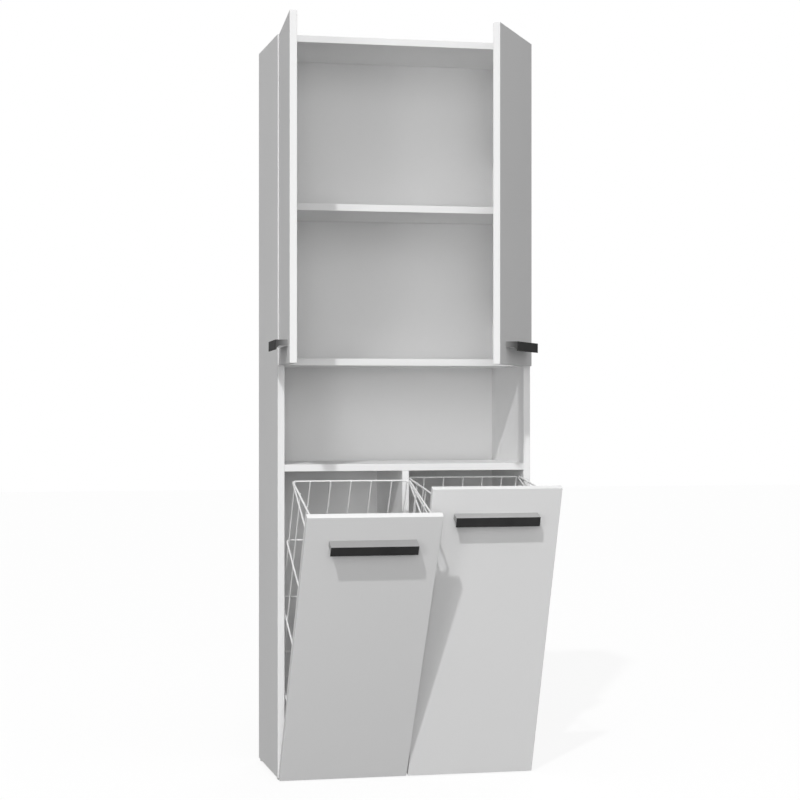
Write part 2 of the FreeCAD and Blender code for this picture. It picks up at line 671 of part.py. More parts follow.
# Hampers
space = x_inner - BOARD / 2
left_x = (-x_inner + BASKET_SIDE_GAP, -BOARD / 2 - BASKET_SIDE_GAP)
grids, clip_spots = basket(left_x)
for side, sign in SIDES:
    body = side + "_hamper"
    front = body + "_front"
    xs = sorted((sign * REVEAL, sign * (REVEAL + front_width)))
    add(front, front_board(xs, z_hamper))
    handle(body, front, sum(xs) / 2, z_hamper[1] - HAMPER_HANDLE_DOWN)
    for x in (xs[0] + HAMPER_HINGE_INSET, xs[1] - HAMPER_HINGE_INSET):
        hinge(front, "hamper", "bottom_panel", hamper_face, Vector(x, y_pin, z_pin), Z)
    bumper_z = z_hamper[1] - EDGE_ROUND - BUMPER_RADIUS
    for x in (xs[0] + BUMPER_INSET, xs[1] - BUMPER_INSET):
        bumper(body, x, bumper_z)
    shift = X * (0.0 if sign < 0 else space + BOARD)
    for part, shapes in grids.items():
        add(body + "_basket_" + part, *[s.translated(shift) for s in shapes])
    for spot in clip_spots:
        add(body + "_basket_clips", clip(front, spot + shift))

# Holes, then the photographed position of the moving pieces
for name, holes in cuts.items():
    pieces[name] = [pieces[name][0].cut(holes)]
for body, pivot, axis, angle in (
    ("left_door", Vector(-x_pin, y_pin, 0), -Z, LEFT_DOOR_OPEN),
    ("right_door", Vector(x_pin, y_pin, 0), Z, RIGHT_DOOR_OPEN),
    ("left_hamper", Vector(0, y_pin, z_pin), X, LEFT_HAMPER_OPEN),
    ("right_hamper", Vector(0, y_pin, z_pin), X, RIGHT_HAMPER_OPEN),
):
    for name in pieces:
        if name.startswith(body):
            for shape in pieces[name]:
                shape.rotate(pivot, axis, angle)

os.makedirs("parts", exist_ok=True)
for name, shapes in pieces.items():
    solids = [solid for shape in shapes for solid in shape.Solids]
    whole = solids[0] if len(solids) == 1 else Part.makeCompound(solids)
    whole.exportStep("parts/" + name + ".step")
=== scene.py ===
import json
import math

import bmesh
import bpy
from mathutils import Matrix, Vector

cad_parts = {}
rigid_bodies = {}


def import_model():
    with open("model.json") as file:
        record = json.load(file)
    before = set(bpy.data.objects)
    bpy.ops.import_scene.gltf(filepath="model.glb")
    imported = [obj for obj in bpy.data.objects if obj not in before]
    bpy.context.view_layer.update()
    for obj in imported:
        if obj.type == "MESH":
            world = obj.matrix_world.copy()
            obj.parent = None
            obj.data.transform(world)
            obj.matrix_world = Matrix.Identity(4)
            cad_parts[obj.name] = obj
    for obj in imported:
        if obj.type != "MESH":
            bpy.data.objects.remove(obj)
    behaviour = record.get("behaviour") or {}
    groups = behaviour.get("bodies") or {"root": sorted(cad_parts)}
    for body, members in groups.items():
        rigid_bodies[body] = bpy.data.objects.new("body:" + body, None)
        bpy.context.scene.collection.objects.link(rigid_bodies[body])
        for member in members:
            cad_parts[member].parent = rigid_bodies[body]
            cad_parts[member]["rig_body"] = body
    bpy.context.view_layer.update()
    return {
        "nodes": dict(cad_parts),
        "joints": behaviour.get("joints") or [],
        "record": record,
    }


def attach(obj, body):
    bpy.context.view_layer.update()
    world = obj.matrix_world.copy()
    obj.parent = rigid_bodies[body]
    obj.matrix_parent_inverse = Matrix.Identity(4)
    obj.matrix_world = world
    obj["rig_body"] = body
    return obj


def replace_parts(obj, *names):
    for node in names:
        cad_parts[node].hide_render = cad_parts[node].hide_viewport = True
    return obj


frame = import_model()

nodes = frame["nodes"]
MM = 0.001

# Camera of the photograph
CAMERA_PLACE = (-1.0622, -4.7507, 0.8680)
CAMERA_YAW = 12.812
CAMERA_PITCH = 0.022
CAMERA_LENS = 91.902
CAMERA_SENSOR = 36.0

# Studio light: a key from the upper left, soft lamps in front, wide top and back lights and an
# even ambient
KEY_FROM = (-0.336, -0.701, 0.629)
KEY_STRENGTH = 1.34
KEY_ANGLE = 1.6
TOP_FROM = (0.0, -0.3, 0.95)
TOP_STRENGTH = 0.58
TOP_ANGLE = 60.0
BACK_FROM = (0.38, 0.85, 0.35)
BACK_STRENGTH = 0.7
BACK_ANGLE = 30.0
FRONT_PLACE = (-1.08, -5.5, 0.95)
FRONT_POWER = 110.0
LEFT_PLACE = (-3.1, -4.7, 0.90)
LEFT_POWER = 116.0
HIGH_PLACE = (-1.0, -8.5, 3.0)
HIGH_POWER = 515.0
HIGH_RADIUS = 2.0
LAMP_RADIUS = 0.6
AMBIENT = 0.31
FLOOR_SIZE = 30.0
FLOOR_COLOUR = 0.20
FLOOR_GLOW = 0.85  # added to the floor where it is seen
FLOOR_KEEP = 0.80  # share of the floor's own light that is kept there

# Directions of the frame, with the doors at the front
ACROSS = Vector((1.0, 0.0, 0.0))
INTO = Vector((0.0, 1.0, 0.0))
UP = Vector((0.0, 0.0, 1.0))

# A point this close to a face counts as on it
SKIN = 0.02 * MM

# Bodies that turn
FRONTS = ("left_door", "right_door", "left_hamper", "right_hamper")

# Basket wires, as in the CAD model
UPRIGHT = 1.5 * MM
LOOP = 1.9 * MM
RIM = 2.2 * MM
WELD = 0.4 * MM
LOOP_BEND = 9.0 * MM
BACK_GAPS = 6
SIDE_GAPS = 3
LEVEL_GAPS = 3
END_GAP_SHARE = 0.15

# Screws
WOOD_HEAD = (3.5 * MM, 2.0 * MM)  # radius and height
WOOD_SHANK = 1.75 * MM
HANDLE_HEAD = (4.0 * MM, 2.2 * MM)
HANDLE_SHANK = 1.95 * MM
ADJUST_HEAD = (3.1 * MM, 0.9 * MM)
ADJUST_SHANK = 1.5 * MM
ADJUST_PLACES = (26.0 * MM, 58.0 * MM)  # behind the arm's front end
ADJUST_LENGTH = 3.0 * MM
EAR_HEAD = (3.0 * MM, 0.8 * MM)
EAR_INSET = 4.4 * MM
EAR_LENGTH = 4.0 * MM


# A body stands as photographed, and its joint's lower limit turns it back to closed
def closing(body):
    for joint in frame["joints"]:
        if joint["child"] == body:
            return joint
    return None


def closed_matrix(body):
    joint = closing(body)
    if joint is None:
        return Matrix.Identity(4)
    pivot = Vector(joint["pos_m"])
    angle = math.radians(joint["range_deg"][0])
    turn = Matrix.Rotation(angle, 4, Vector(joint["axis"]))
    return Matrix.Translation(pivot) @ turn @ Matrix.Translation(-pivot)


def corners(points):
    low = Vector([min(p[i] for p in points) for i in range(3)])
    high = Vector([max(p[i] for p in points) for i in range(3)])
    return low, high


def closed_box(node):
    turn = closed_matrix(nodes[node]["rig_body"])
    return corners([turn @ v.co for v in nodes[node].data.vertices])


def solids(node):
    # The points of each separate solid in a node, in the closed position.
    mesh = nodes[node].data
    turn = closed_matrix(nodes[node]["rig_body"])
    leader = list(range(len(mesh.vertices)))

    def first(i):
        while leader[i] != i:
            i = leader[i]
        return i

    seen = {}
    for vertex in mesh.vertices:
        place = tuple(round(c / SKIN) for c in vertex.co)
        leader[first(vertex.index)] = first(seen.setdefault(place, vertex.index))
    for edge in mesh.edges:
        leader[first(edge.vertices[0])] = first(edge.vertices[1])
    found = {}
    for vertex in mesh.vertices:
        found.setdefault(first(vertex.index), []).append(turn @ vertex.co)
    return list(found.values())


NOISE_LOW = 0.3  # most of a noise's values lie between these
NOISE_HIGH = 0.7


class Finish:
    # One material's node tree, with short calls for the nodes that the finishes share.
    def __init__(self, name):
        self.material = bpy.data.materials.new(name)
        self.material.use_nodes = True
        self.tree = self.material.node_tree
        self.surface = self.tree.nodes["Principled BSDF"]

    def feed(self, socket, value):
        if isinstance(value, bpy.types.NodeSocket):
            self.tree.links.new(value, socket)
        else:
            socket.default_value = value

    def add(self, kind, values, output=0, **settings):
        node = self.tree.nodes.new("ShaderNode" + kind)
        for name, value in settings.items():
            setattr(node, name, value)
        for name, value in values.items():
            self.feed(node.inputs[name], value)
        return node.outputs[output]

    def set(self, **values):
        for name, value in values.items():
            self.feed(self.surface.inputs[name.replace("_", " ")], value)

    def math(self, operation, a, b=0.0, clamp=False):
        return self.add("Math", {0: a, 1: b}, operation=operation, use_clamp=clamp)

    def vector(self, operation, a, b=(0.0, 0.0, 0.0)):
        return self.add("VectorMath", {0: a, 1: b}, operation=operation)

    def split(self, vector):
        node = self.tree.nodes.new("ShaderNodeSeparateXYZ")
        self.feed(node.inputs[0], vector)
        return list(node.outputs)

    def span(self, value, low, high, out_low=0.0, out_high=1.0):
        sockets = {0: value, 1: low, 2: high, 3: out_low, 4: out_high}
        return self.add("MapRange", sockets)

    def vary(self, noise, low=0.0, high=1.0):
        # A noise spread between two values.
        return self.span(noise, NOISE_LOW, NOISE_HIGH, low, high)

    def mix(self, factor, a, b):
        return self.add("Mix", {0: factor, 6: a, 7: b}, output=2, data_type="RGBA")

    def noise(self, place, scale, detail=2.0, stretch=None):
        if stretch is not None:
            place = self.vector("MULTIPLY", place, stretch)
        return self.add("TexNoise", {"Vector": place, "Scale": scale, "Detail": detail})

    def cells(self, place, scale):
        # A random value for each cell of a cell pattern.
        return self.split(self.add("TexVoronoi", {"Vector": place, "Scale": scale}, output=1))[0]

    def bump(self, height, distance, strength=1.0, normal=None):
        sockets = {"Height": height, "Distance": distance, "Strength": strength}
        if normal is not None:
            sockets["Normal"] = normal
        return self.add("Bump", sockets)

    def hypot(self, a, b):
        square = self.math("ADD", self.math("MULTIPLY", a, a), self.math("MULTIPLY", b, b))
        return self.math("SQRT", square)

    def closed_place(self, body):
        # Object coordinates, turned back to the closed position so that patterns follow the boards.
        place = self.add("TexCoord", {}, output=3)
        joint = closing(body)
        if joint is None:
            return place
        sockets = {
            "Vector": place,
            "Center": joint["pos_m"],
            "Axis": joint["axis"],
            "Angle": math.radians(joint["range_deg"][0]),
        }
        return self.add("VectorRotate", sockets, rotation_type="AXIS_ANGLE")


def grey(value):
    return (value, value, value, 1.0)


# White laminate on chipboard, with thin edge strips; bores and rear edges show the raw board
LAMINATE = 0.86
STRIP = 1.0 * MM  # edge strip
SEAM_HALF = 0.12 * MM
SEAM_SHADE = 0.30
RAW_DEPTH = 0.6 * MM  # what lies deeper than this under every face is raw board
LAMINATE_ROUGH = (0.58, 0.68)
RAW_ROUGH = 0.25  # more than the laminate has
CHIP_SCALE = 420.0
CHIP_DARK = (0.30, 0.19, 0.10, 1.0)
CHIP_PALE = (0.62, 0.46, 0.29, 1.0)
DULL_GLOSS = 0.012  # specular level of the boards


def laminate(node):
    body = nodes[node]["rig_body"]
    low, high = closed_box(node)
    size = high - low
    thin = min(range(3), key=lambda i: size[i])
    flat = [i for i in range(3) if i != thin]
    f = Finish("laminate_" + node)
    place = f.closed_place(body)
    away = f.vector("ABSOLUTE", f.vector("SUBTRACT", place, tuple((low + high) / 2)))
    inside = f.split(f.vector("SUBTRACT", tuple(size / 2), away))
    edge = f.math("MINIMUM", inside[flat[0]], inside[flat[1]])
    raw = f.math("GREATER_THAN", f.math("MINIMUM", edge, inside[thin]), RAW_DEPTH)
    if body == "cabinet":
        raw = f.math("MAXIMUM", raw, f.math("GREATER_THAN", f.split(place)[1], high.y - SKIN))
    if node.startswith("side"):
        raw = f.math("MAXIMUM", raw, f.math("LESS_THAN", f.split(place)[2], low.z + SKIN))
    seam = f.span(f.math("ABSOLUTE", f.math("SUBTRACT", edge, STRIP)), 0.0, SEAM_HALF, 1.0, 0.0)
    cloud = f.noise(place, scale=3.0, detail=3.0)
    fleck = f.noise(place, scale=420.0, detail=2.0)
    pearl = f.noise(place, scale=1500.0, detail=3.0)
    tone = f.mix(cloud, grey(LAMINATE * 0.985), grey(LAMINATE * 1.015))
    tone = f.mix(f.span(fleck, 0.35, 0.75, 0.0, 0.10), tone, grey(LAMINATE * 0.92))
    tone = f.mix(f.math("MULTIPLY", seam, SEAM_SHADE), tone, grey(LAMINATE * 0.6))
    chip = f.cells(place, CHIP_SCALE)
    tone = f.mix(raw, tone, f.mix(chip, CHIP_DARK, CHIP_PALE))
    rough = f.vary(f.noise(place, scale=9.0, detail=3.0), *LAMINATE_ROUGH)
    rough = f.math("ADD", rough, f.math("MULTIPLY", raw, RAW_ROUGH))
    relief = f.bump(pearl, 0.02 * MM, strength=0.5)
    relief = f.bump(f.math("MULTIPLY", seam, -1.0), 0.05 * MM, strength=0.6, normal=relief)
    relief = f.bump(f.math("MULTIPLY", raw, chip), 0.15 * MM, strength=0.8, normal=relief)
    f.set(Base_Color=tone, Roughness=rough, Normal=relief)
    f.set(Specular_IOR_Level=DULL_GLOSS)
    return f.material


# Hardboard: lacquered white inside, brown with a pressed screen outside, nailed to the boards
NAIL_RADIUS = 2.2 * MM
NAIL_PITCH = 0.14
SCREEN_PITCH = 1.3 * MM
BOARD_HALF = 8.0 * MM
HARD_DARK = (0.165, 0.098, 0.054, 1.0)
HARD_PALE = (0.300, 0.190, 0.110, 1.0)
LACQUER_ROUGH = (0.42, 0.52)
HARD_ROUGH = 0.30  # more than the lacquer has
NAIL_GREY = 0.45
NAIL_GLOSS = 0.40
LACQUER_DARK = 0.79
LACQUER_PALE = 0.82


def hardboard(node):
    low, high = closed_box(node)
    f = Finish("hardboard")
    place = f.closed_place("cabinet")
    x, y, z = f.split(place)
    outer = f.math("GREATER_THAN", y, low.y + SKIN)
    cloud = f.noise(place, scale=4.0, detail=3.0)
    lacquer = f.mix(cloud, grey(LACQUER_DARK), grey(LACQUER_PALE))
    fibre = f.noise(place, scale=260.0, detail=4.0, stretch=(1.0, 1.0, 0.35))
    brown = f.mix(f.vary(fibre), HARD_DARK, HARD_PALE)
    brown = f.mix(f.span(cloud, 0.35, 0.65, 0.0, 0.35), brown, HARD_DARK)
    turns = 2 * math.pi / SCREEN_PITCH
    screen_x = f.math("SINE", f.math("MULTIPLY", x, turns))
    screen_z = f.math("SINE", f.math("MULTIPLY", z, turns))
    screen = f.math("MULTIPLY", screen_x, screen_z)
    brown = f.mix(f.span(screen, -0.4, 0.8, 0.0, 0.30), brown, HARD_PALE)
    side_line = f.math("SUBTRACT", f.math("ABSOLUTE", x), high.x - BOARD_HALF)
    up = f.math("PINGPONG", z, NAIL_PITCH / 2)
    nails = f.math("LESS_THAN", f.hypot(side_line, up), NAIL_RADIUS)
    across = f.math("PINGPONG", x, NAIL_PITCH / 2)
    for board in ("bottom_panel", "niche_floor_panel", "niche_top_panel", "top_panel"):
        ends = closed_box(board)
        row = f.math("SUBTRACT", z, (ends[0].z + ends[1].z) / 2)
        heads = f.math("LESS_THAN", f.hypot(row, across), NAIL_RADIUS)
        nails = f.math("MAXIMUM", nails, heads)
    nails = f.math("MULTIPLY", nails, f.math("GREATER_THAN", y, high.y - SKIN))
    tone = f.mix(nails, f.mix(outer, lacquer, brown), grey(NAIL_GREY))
    rough = f.vary(cloud, *LACQUER_ROUGH)
    rough = f.math("ADD", rough, f.math("MULTIPLY", outer, HARD_ROUGH))
    rough = f.math("SUBTRACT", rough, f.math("MULTIPLY", nails, NAIL_GLOSS))
    peel = f.bump(f.noise(place, scale=700.0, detail=2.0), 0.02 * MM, strength=0.5)
    height = f.math("MULTIPLY", f.math("ADD", screen, fibre), outer)
    relief = f.bump(height, 0.08 * MM, strength=0.8, normal=peel)
    relief = f.bump(f.math("MULTIPLY", nails, -1.0), 0.2 * MM, strength=0.8, normal=relief)
    f.set(Base_Color=tone, Roughness=rough, Metallic=nails, Normal=relief)
    f.set(Specular_IOR_Level=DULL_GLOSS)
    return f.material


# White epoxy coat on steel wire, slightly uneven and thicker in places
WIRE_WHITE = 0.85
WIRE_SPECK = (0.72, 0.70, 0.66, 1.0)
WIRE_ROUGH = (0.28, 0.42)
WIRE_GLOSS = 0.3


def wire_coat(body):
    f = Finish("wire_coat_" + body)
    place = f.closed_place(body)
    cloud = f.noise(place, scale=45.0, detail=3.0)
    peel = f.noise(place, scale=900.0, detail=2.0)
    tone = f.mix(f.vary(cloud), grey(WIRE_WHITE * 0.94), grey(WIRE_WHITE * 1.03))
    tone = f.mix(f.span(peel, 0.62, 0.8, 0.0, 0.25), tone, WIRE_SPECK)
    rough = f.vary(cloud, *WIRE_ROUGH)
    relief = f.bump(peel, 0.05 * MM, strength=0.5)
    relief = f.bump(f.noise(place, scale=160.0, detail=2.0), 0.12 * MM, strength=0.5, normal=relief)
    f.set(Base_Color=tone, Roughness=rough, Normal=relief)
    f.set(Specular_IOR_Level=WIRE_GLOSS)
    return f.material


# Satin aluminium, brushed along the handle; its sawn ends are rougher and carry painted shade:
# grey on the hampers, and on the doors darker towards the lip
METAL = 0.69
METAL_ROUGH = (0.36, 0.50)
BRUSH_RANGE = (0.25, 0.75)  # of the noise that draws the brushed lines
# Painted shade on the sawn ends, as end colours at the lip and at the board
DOOR_END_PAINTED_SHADE = (0.12, 0.48)  # at the lip and at the board
HAMPER_END_PAINTED_SHADE = (0.46, 0.50)
END_SHADE_FADE = 1.5  # power of the painted shade's fade from lip to board
END_ROUGH = 0.15


def brushed(node):
    body = nodes[node]["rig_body"]
    low, high = closed_box(node)
    f = Finish("brushed_" + node)
    place = f.closed_place(body)
    x, y = f.split(place)[:2]
    streak = f.noise(place, scale=1.0, detail=3.0, stretch=(12.0, 2600.0, 2600.0))
    hair = f.noise(place, scale=1.0, detail=2.0, stretch=(40.0, 9000.0, 9000.0))
    cloud = f.noise(place, scale=25.0, detail=2.0)
    tone = f.mix(f.span(streak, *BRUSH_RANGE), grey(METAL * 0.90), grey(METAL * 1.10))
    tone = f.mix(f.vary(cloud, 0.0, 0.12), tone, grey(METAL * 0.8))
    from_middle = f.math("ABSOLUTE", f.math("SUBTRACT", x, (low.x + high.x) / 2))
    ends = f.math("GREATER_THAN", from_middle, (high.x - low.x) / 2 - SKIN)
    saw = f.noise(place, scale=1.0, detail=2.0, stretch=(500.0, 500.0, 4000.0))
    # Painted shade on the sawn ends: a grey that darkens from the board towards the lip
    depth = f.math("POWER", f.span(y, low.y, high.y), END_SHADE_FADE)
    shade_fade = f.math("ADD", depth, f.vary(saw, -0.06, 0.06), clamp=True)
    shade_at_lip, shade_at_board = DOOR_END_PAINTED_SHADE if body.endswith("door") else HAMPER_END_PAINTED_SHADE
    tone = f.mix(ends, tone, f.mix(shade_fade, grey(shade_at_lip), grey(shade_at_board)))
    rough = f.span(hair, *BRUSH_RANGE, *METAL_ROUGH)
    rough = f.math("ADD", rough, f.math("MULTIPLY", ends, END_ROUGH))
    relief = f.bump(hair, 0.02 * MM, strength=0.5)
    relief = f.bump(f.math("MULTIPLY", saw, ends), 0.04 * MM, strength=0.5, normal=relief)
    f.set(Base_Color=tone, Roughness=rough, Metallic=1.0, Normal=relief)
    return f.material


# Matte black lip with a fine moulded grain
LIP_BLACK = 0.044
LIP_ROUGH = (0.50, 0.68)
LIP_GLOSS = 0.01


def black_grain(node):
    f = Finish("black_grain_" + node)
    place = f.closed_place(nodes[node]["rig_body"])
    grain = f.noise(place, scale=2200.0, detail=2.0)
    cloud = f.noise(place, scale=35.0, detail=3.0)
    tone = f.mix(f.vary(cloud), grey(LIP_BLACK * 0.9), grey(LIP_BLACK * 1.1))
    tone = f.mix(f.span(grain, 0.55, 0.75, 0.0, 0.3), tone, grey(LIP_BLACK * 1.5))
    rough = f.vary(grain, *LIP_ROUGH)
    f.set(Base_Color=tone, Roughness=rough, Normal=f.bump(grain, 0.05 * MM, strength=0.6))
    f.set(Specular_IOR_Level=LIP_GLOSS)
    return f.material


# Plated steel: nickel is smooth with faint smudges, zinc has a dull bluish spangle
NICKEL_DARK = (0.56, 0.545, 0.51, 1.0)
NICKEL_PALE = (0.66, 0.65, 0.625, 1.0)
NICKEL_ROUGH = (0.20, 0.36)
ZINC_SPANGLE = 650.0  # cells in a metre
ZINC_DARK = (0.46, 0.48, 0.51, 1.0)
ZINC_PALE = (0.64, 0.65, 0.66, 1.0)
ZINC_STAIN = (0.50, 0.47, 0.38, 1.0)
ZINC_ROUGH = (0.28, 0.48)


def nickel(body):
    f = Finish("nickel_" + body)
    place = f.closed_place(body)
    smudge = f.noise(place, scale=70.0, detail=4.0)
    press = f.noise(place, scale=1.0, detail=2.0, stretch=(300.0, 300.0, 1800.0))
    tone = f.mix(f.vary(smudge), NICKEL_DARK, NICKEL_PALE)
    rough = f.vary(smudge, *NICKEL_ROUGH)
    relief = f.bump(press, 0.02 * MM, strength=0.4)
    f.set(Base_Color=tone, Roughness=rough, Metallic=1.0, Normal=relief)
    return f.material


def zinc(body):
    f = Finish("zinc_" + body)
    place = f.closed_place(body)
    spangle = f.cells(place, ZINC_SPANGLE)
    dull = f.noise(place, scale=120.0, detail=4.0)
    tone = f.mix(spangle, ZINC_DARK, ZINC_PALE)
    tone = f.mix(f.span(dull, 0.55, 0.8, 0.0, 0.35), tone, ZINC_STAIN)
    rough = f.vary(dull, *ZINC_ROUGH)
    relief = f.bump(spangle, 0.02 * MM, strength=0.4)
    f.set(Base_Color=tone, Roughness=rough, Metallic=1.0, Normal=relief)
    return f.material


# Moulded white plastic, with a fine eroded grain and faint flow marks
PLASTIC_DARK = (0.79, 0.79, 0.775, 1.0)
PLASTIC_PALE = (0.85, 0.85, 0.84, 1.0)
PLASTIC_ROUGH = (0.34, 0.50)


def plastic(body):
    f = Finish("white_plastic_" + body)
    place = f.closed_place(body)
    grain = f.noise(place, scale=1600.0, detail=2.0)
    flow = f.noise(place, scale=60.0, detail=3.0, stretch=(1.0, 1.0, 0.3))
    tone = f.mix(f.vary(flow), PLASTIC_DARK, PLASTIC_PALE)
    rough = f.vary(grain, *PLASTIC_ROUGH)
    f.set(Base_Color=tone, Roughness=rough, Normal=f.bump(grain, 0.04 * MM, strength=0.5))
    f.set(Subsurface_Weight=0.08, Subsurface_Scale=1.0 * MM)
    return f.material


# Clear soft bumper with a faint cloudiness
GEL_DARK = (0.86, 0.87, 0.86, 1.0)
GEL_PALE = (0.95, 0.96, 0.95, 1.0)
GEL_ROUGH = (0.08, 0.22)


def clear_gel(body):
    f = Finish("clear_gel_" + body)
    place = f.closed_place(body)
    haze = f.noise(place, scale=500.0, detail=3.0)
    tone = f.mix(haze, GEL_DARK, GEL_PALE)
    rough = f.vary(haze, *GEL_ROUGH)
    f.set(Base_Color=tone, Roughness=rough, Normal=f.bump(haze, 0.03 * MM, strength=0.4))
    f.set(Transmission_Weight=0.85, IOR=1.47)
    return f.material


# Beech dowels: long pale grain with short darker flecks
BEECH_DARK = (0.50, 0.33, 0.19, 1.0)
BEECH_PALE = (0.70, 0.52, 0.34, 1.0)
BEECH_FLECK = (0.32, 0.18, 0.09, 1.0)
BEECH_ROUGH = (0.55, 0.70)


def beech(body):
    f = Finish("beech")
    place = f.closed_place(body)
    grain = f.noise(place, scale=1.0, detail=4.0, stretch=(60.0, 900.0, 900.0))
    fleck = f.noise(place, scale=1.0, detail=2.0, stretch=(350.0, 2600.0, 2600.0))
    tone = f.mix(f.vary(grain), BEECH_DARK, BEECH_PALE)
    tone = f.mix(f.span(fleck, 0.62, 0.72, 0.0, 0.6), tone, BEECH_FLECK)
    rough = f.vary(grain, *BEECH_ROUGH)
    f.set(Base_Color=tone, Roughness=rough, Normal=f.bump(grain, 0.05 * MM, strength=0.6))
    return f.material


# Finishes for the CAD nodes, by the material slot that the record gives each node
def shared(make):
    # One material for each body, made when it is first asked for.
    made = {}

    def get(node):
        body = nodes[node]["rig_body"]
        if body not in made:
            made[body] = make(body)
        return made[body]

    return get


finishes = {
    "white_laminate": laminate,
    "hardboard": hardboard,
    "white_wire": shared(wire_coat),
    "bright_aluminium": brushed,
    "black_lip": black_grain,
    "nickel_steel": shared(nickel),
    "zinc_steel": shared(zinc),
    "white_plastic": shared(plastic),
    "clear_bumper": shared(clear_gel),
    "beech": shared(beech),
}
for subpart in frame["record"]["subparts"]:
    name = subpart["node"]
    slots = nodes[name].data.materials
    slots.clear()
    slots.append(finishes[subpart["material_slot"]](name))
    for polygon in nodes[name].data.polygons:
        polygon.material_index = 0


# Added pieces: each is one mesh, drawn in the closed position and turned to where its body stands
def piece(name, mesh, body, like):
    mesh.transform(closed_matrix(body).inverted())
    bmesh.ops.recalc_face_normals(mesh, faces=mesh.faces)
    data = bpy.data.meshes.new(name)
    mesh.to_mesh(data)
    mesh.free()
    data.shade_smooth()
    added = bpy.data.objects.new(name, data)
    bpy.context.scene.collection.objects.link(added)
    data.materials.append(nodes[like].data.materials[0])
    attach(added, body)
    return added


def skin_rings(mesh, rings, tip, end):
    # A closed skin over rings of points, with a point at each end.
    loops = [[mesh.verts.new(p) for p in ring] for ring in rings]
    count = len(loops[0])
    for a, b in zip(loops, loops[1:]):
        for i in range(count):
            j = (i + 1) % count
            mesh.faces.new((a[i], a[j], b[j], b[i]))
    for ring, cap in ((loops[0], mesh.verts.new(tip)), (loops[-1], mesh.verts.new(end))):
        for i in range(count):
            mesh.faces.new((ring[i], ring[(i + 1) % count], cap))


def basis(way):
    # Two directions square to the given one.
    side = way.orthogonal().normalized()
    return side, way.cross(side)


# Screw with a pan head and a cross recess; way points into the wood
SLOT = 0.28  # half the width of an arm of the cross, as a share of its length
RECESS = ((1.0, -SLOT), (1.0, 0.0), (1.0, SLOT), (SLOT, SLOT))  # a quarter of the cross
RECESS_ARM = 0.52  # share of the head's radius
RECESS_DEPTH = 0.62  # share of the head's height
RECESS_TAPER = 0.6  # the floor's size as a share of the rim's
POINT_LENGTH = 2.0  # in radii of the shank
HEAD_PROFILE = ((0.74, 1.0), (0.90, 0.88), (0.98, 0.62), (1.0, 0.30), (1.0, 0.0))


def screw(mesh, seat, way, head, shank, length):
    way = way.normalized()
    side, other = basis(way)
    radius, height = head

    def at(u, v, out):
        return seat + side * u + other * v - way * out

    cross = []
    for quarter in range(4):
        turn = Matrix.Rotation(quarter * math.pi / 2, 2)
        cross.extend(turn @ (Vector(p) * RECESS_ARM * radius) for p in RECESS)
    count = len(cross)

    def circle(r, out):
        angles = [2 * math.pi * (i - 1) / count for i in range(count)]
        return [at(r * math.cos(a), r * math.sin(a), out) for a in angles]

    floor = height * (1.0 - RECESS_DEPTH)
    rings = [[at(p.x * RECESS_TAPER, p.y * RECESS_TAPER, floor) for p in cross]]
    rings.append([at(p.x, p.y, height) for p in cross])
    rings.extend(circle(radius * r, height * h) for r, h in HEAD_PROFILE)
    rings.append(circle(shank, 0.0))
    rings.append(circle(shank, -length + POINT_LENGTH * shank))
    skin_rings(mesh, rings, at(0.0, 0.0, floor), at(0.0, 0.0, -length))


# Wood screws, in place of the CAD ones: the head is the wide end of each solid
mesh = bmesh.new()
for points in solids("wood_screws"):
    low, high = corners(points)
    size = high - low
    axis = max(range(3), key=lambda i: size[i])
    middle = (low + high) / 2
    way = Vector([float(i == axis) for i in range(3)])
    far = max(points, key=lambda p: (p - middle).cross(way).length)
    if (far - middle).dot(way) > 0:
        way = -way
    top = middle - way * size[axis] / 2
    screw(mesh, top + way * WOOD_HEAD[1], way, WOOD_HEAD, WOOD_SHANK, size[axis] - WOOD_HEAD[1])
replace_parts(piece("wood_screws_cross", mesh, "cabinet", "wood_screws"), "wood_screws")

# Handle screws, in place of the CAD ones, with their heads on the inner face of each front
for body in FRONTS:
    node = body + "_handle_screws"
    mesh = bmesh.new()
    for points in solids(node):
        low, high = corners(points)
        seat = Vector(((low.x + high.x) / 2, high.y - HANDLE_HEAD[1], (low.z + high.z) / 2))
        screw(mesh, seat, -INTO, HANDLE_HEAD, HANDLE_SHANK, seat.y - low.y)
    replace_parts(piece(node + "_cross", mesh, body, node), node)

# Adjusting screws on the hinge arms
mesh = bmesh.new()
for node in ("door_hinge_arms", "hamper_hinge_arms"):
    for points in solids(node):
        low, high = corners(points)
        middle = (low + high) / 2
        for back in ADJUST_PLACES:
            if node.startswith("door"):
                inward = -math.copysign(1.0, middle.x)
                roof = high.x if inward > 0 else low.x
                seat = Vector((roof, low.y + back, middle.z))
                way = ACROSS * -inward
            else:
                seat = Vector((middle.x, low.y + back, high.z))
                way = -UP
            screw(mesh, seat, way, ADJUST_HEAD, ADJUST_SHANK, ADJUST_LENGTH)
piece("hinge_adjusting_screws", mesh, "cabinet", "door_hinge_arms")

# Screws through the ears of the hinge cups
for body in FRONTS:
    node = body + "_hinge_cups"
    mesh = bmesh.new()
    for points in solids(node):
        low, high = corners(points)
        middle = (low + high) / 2
        along = 2 if body.endswith("door") else 0
        for sign in (-1.0, 1.0):
            seat = Vector((middle.x, high.y, middle.z))
            seat[along] += sign * ((high - low)[along] / 2 - EAR_INSET)
            screw(mesh, seat, -INTO, EAR_HEAD, ADJUST_SHANK, EAR_LENGTH)
    piece(body + "_cup_screws", mesh, body, node)


# Weld beads where the wires of a basket cross
BEAD_RADIUS = 2.2 * MM
BEAD_HALF = 1.25 * MM
BEAD_STEPS = 8
BEAD_LOBES = 4
BEAD_MEAN = 0.9
BEAD_SWELL = 0.14
BEAD_PROFILE = ((0.50, 0.86), (0.86, 0.45), (1.0, 0.0), (0.86, -0.45), (0.50, -0.86))


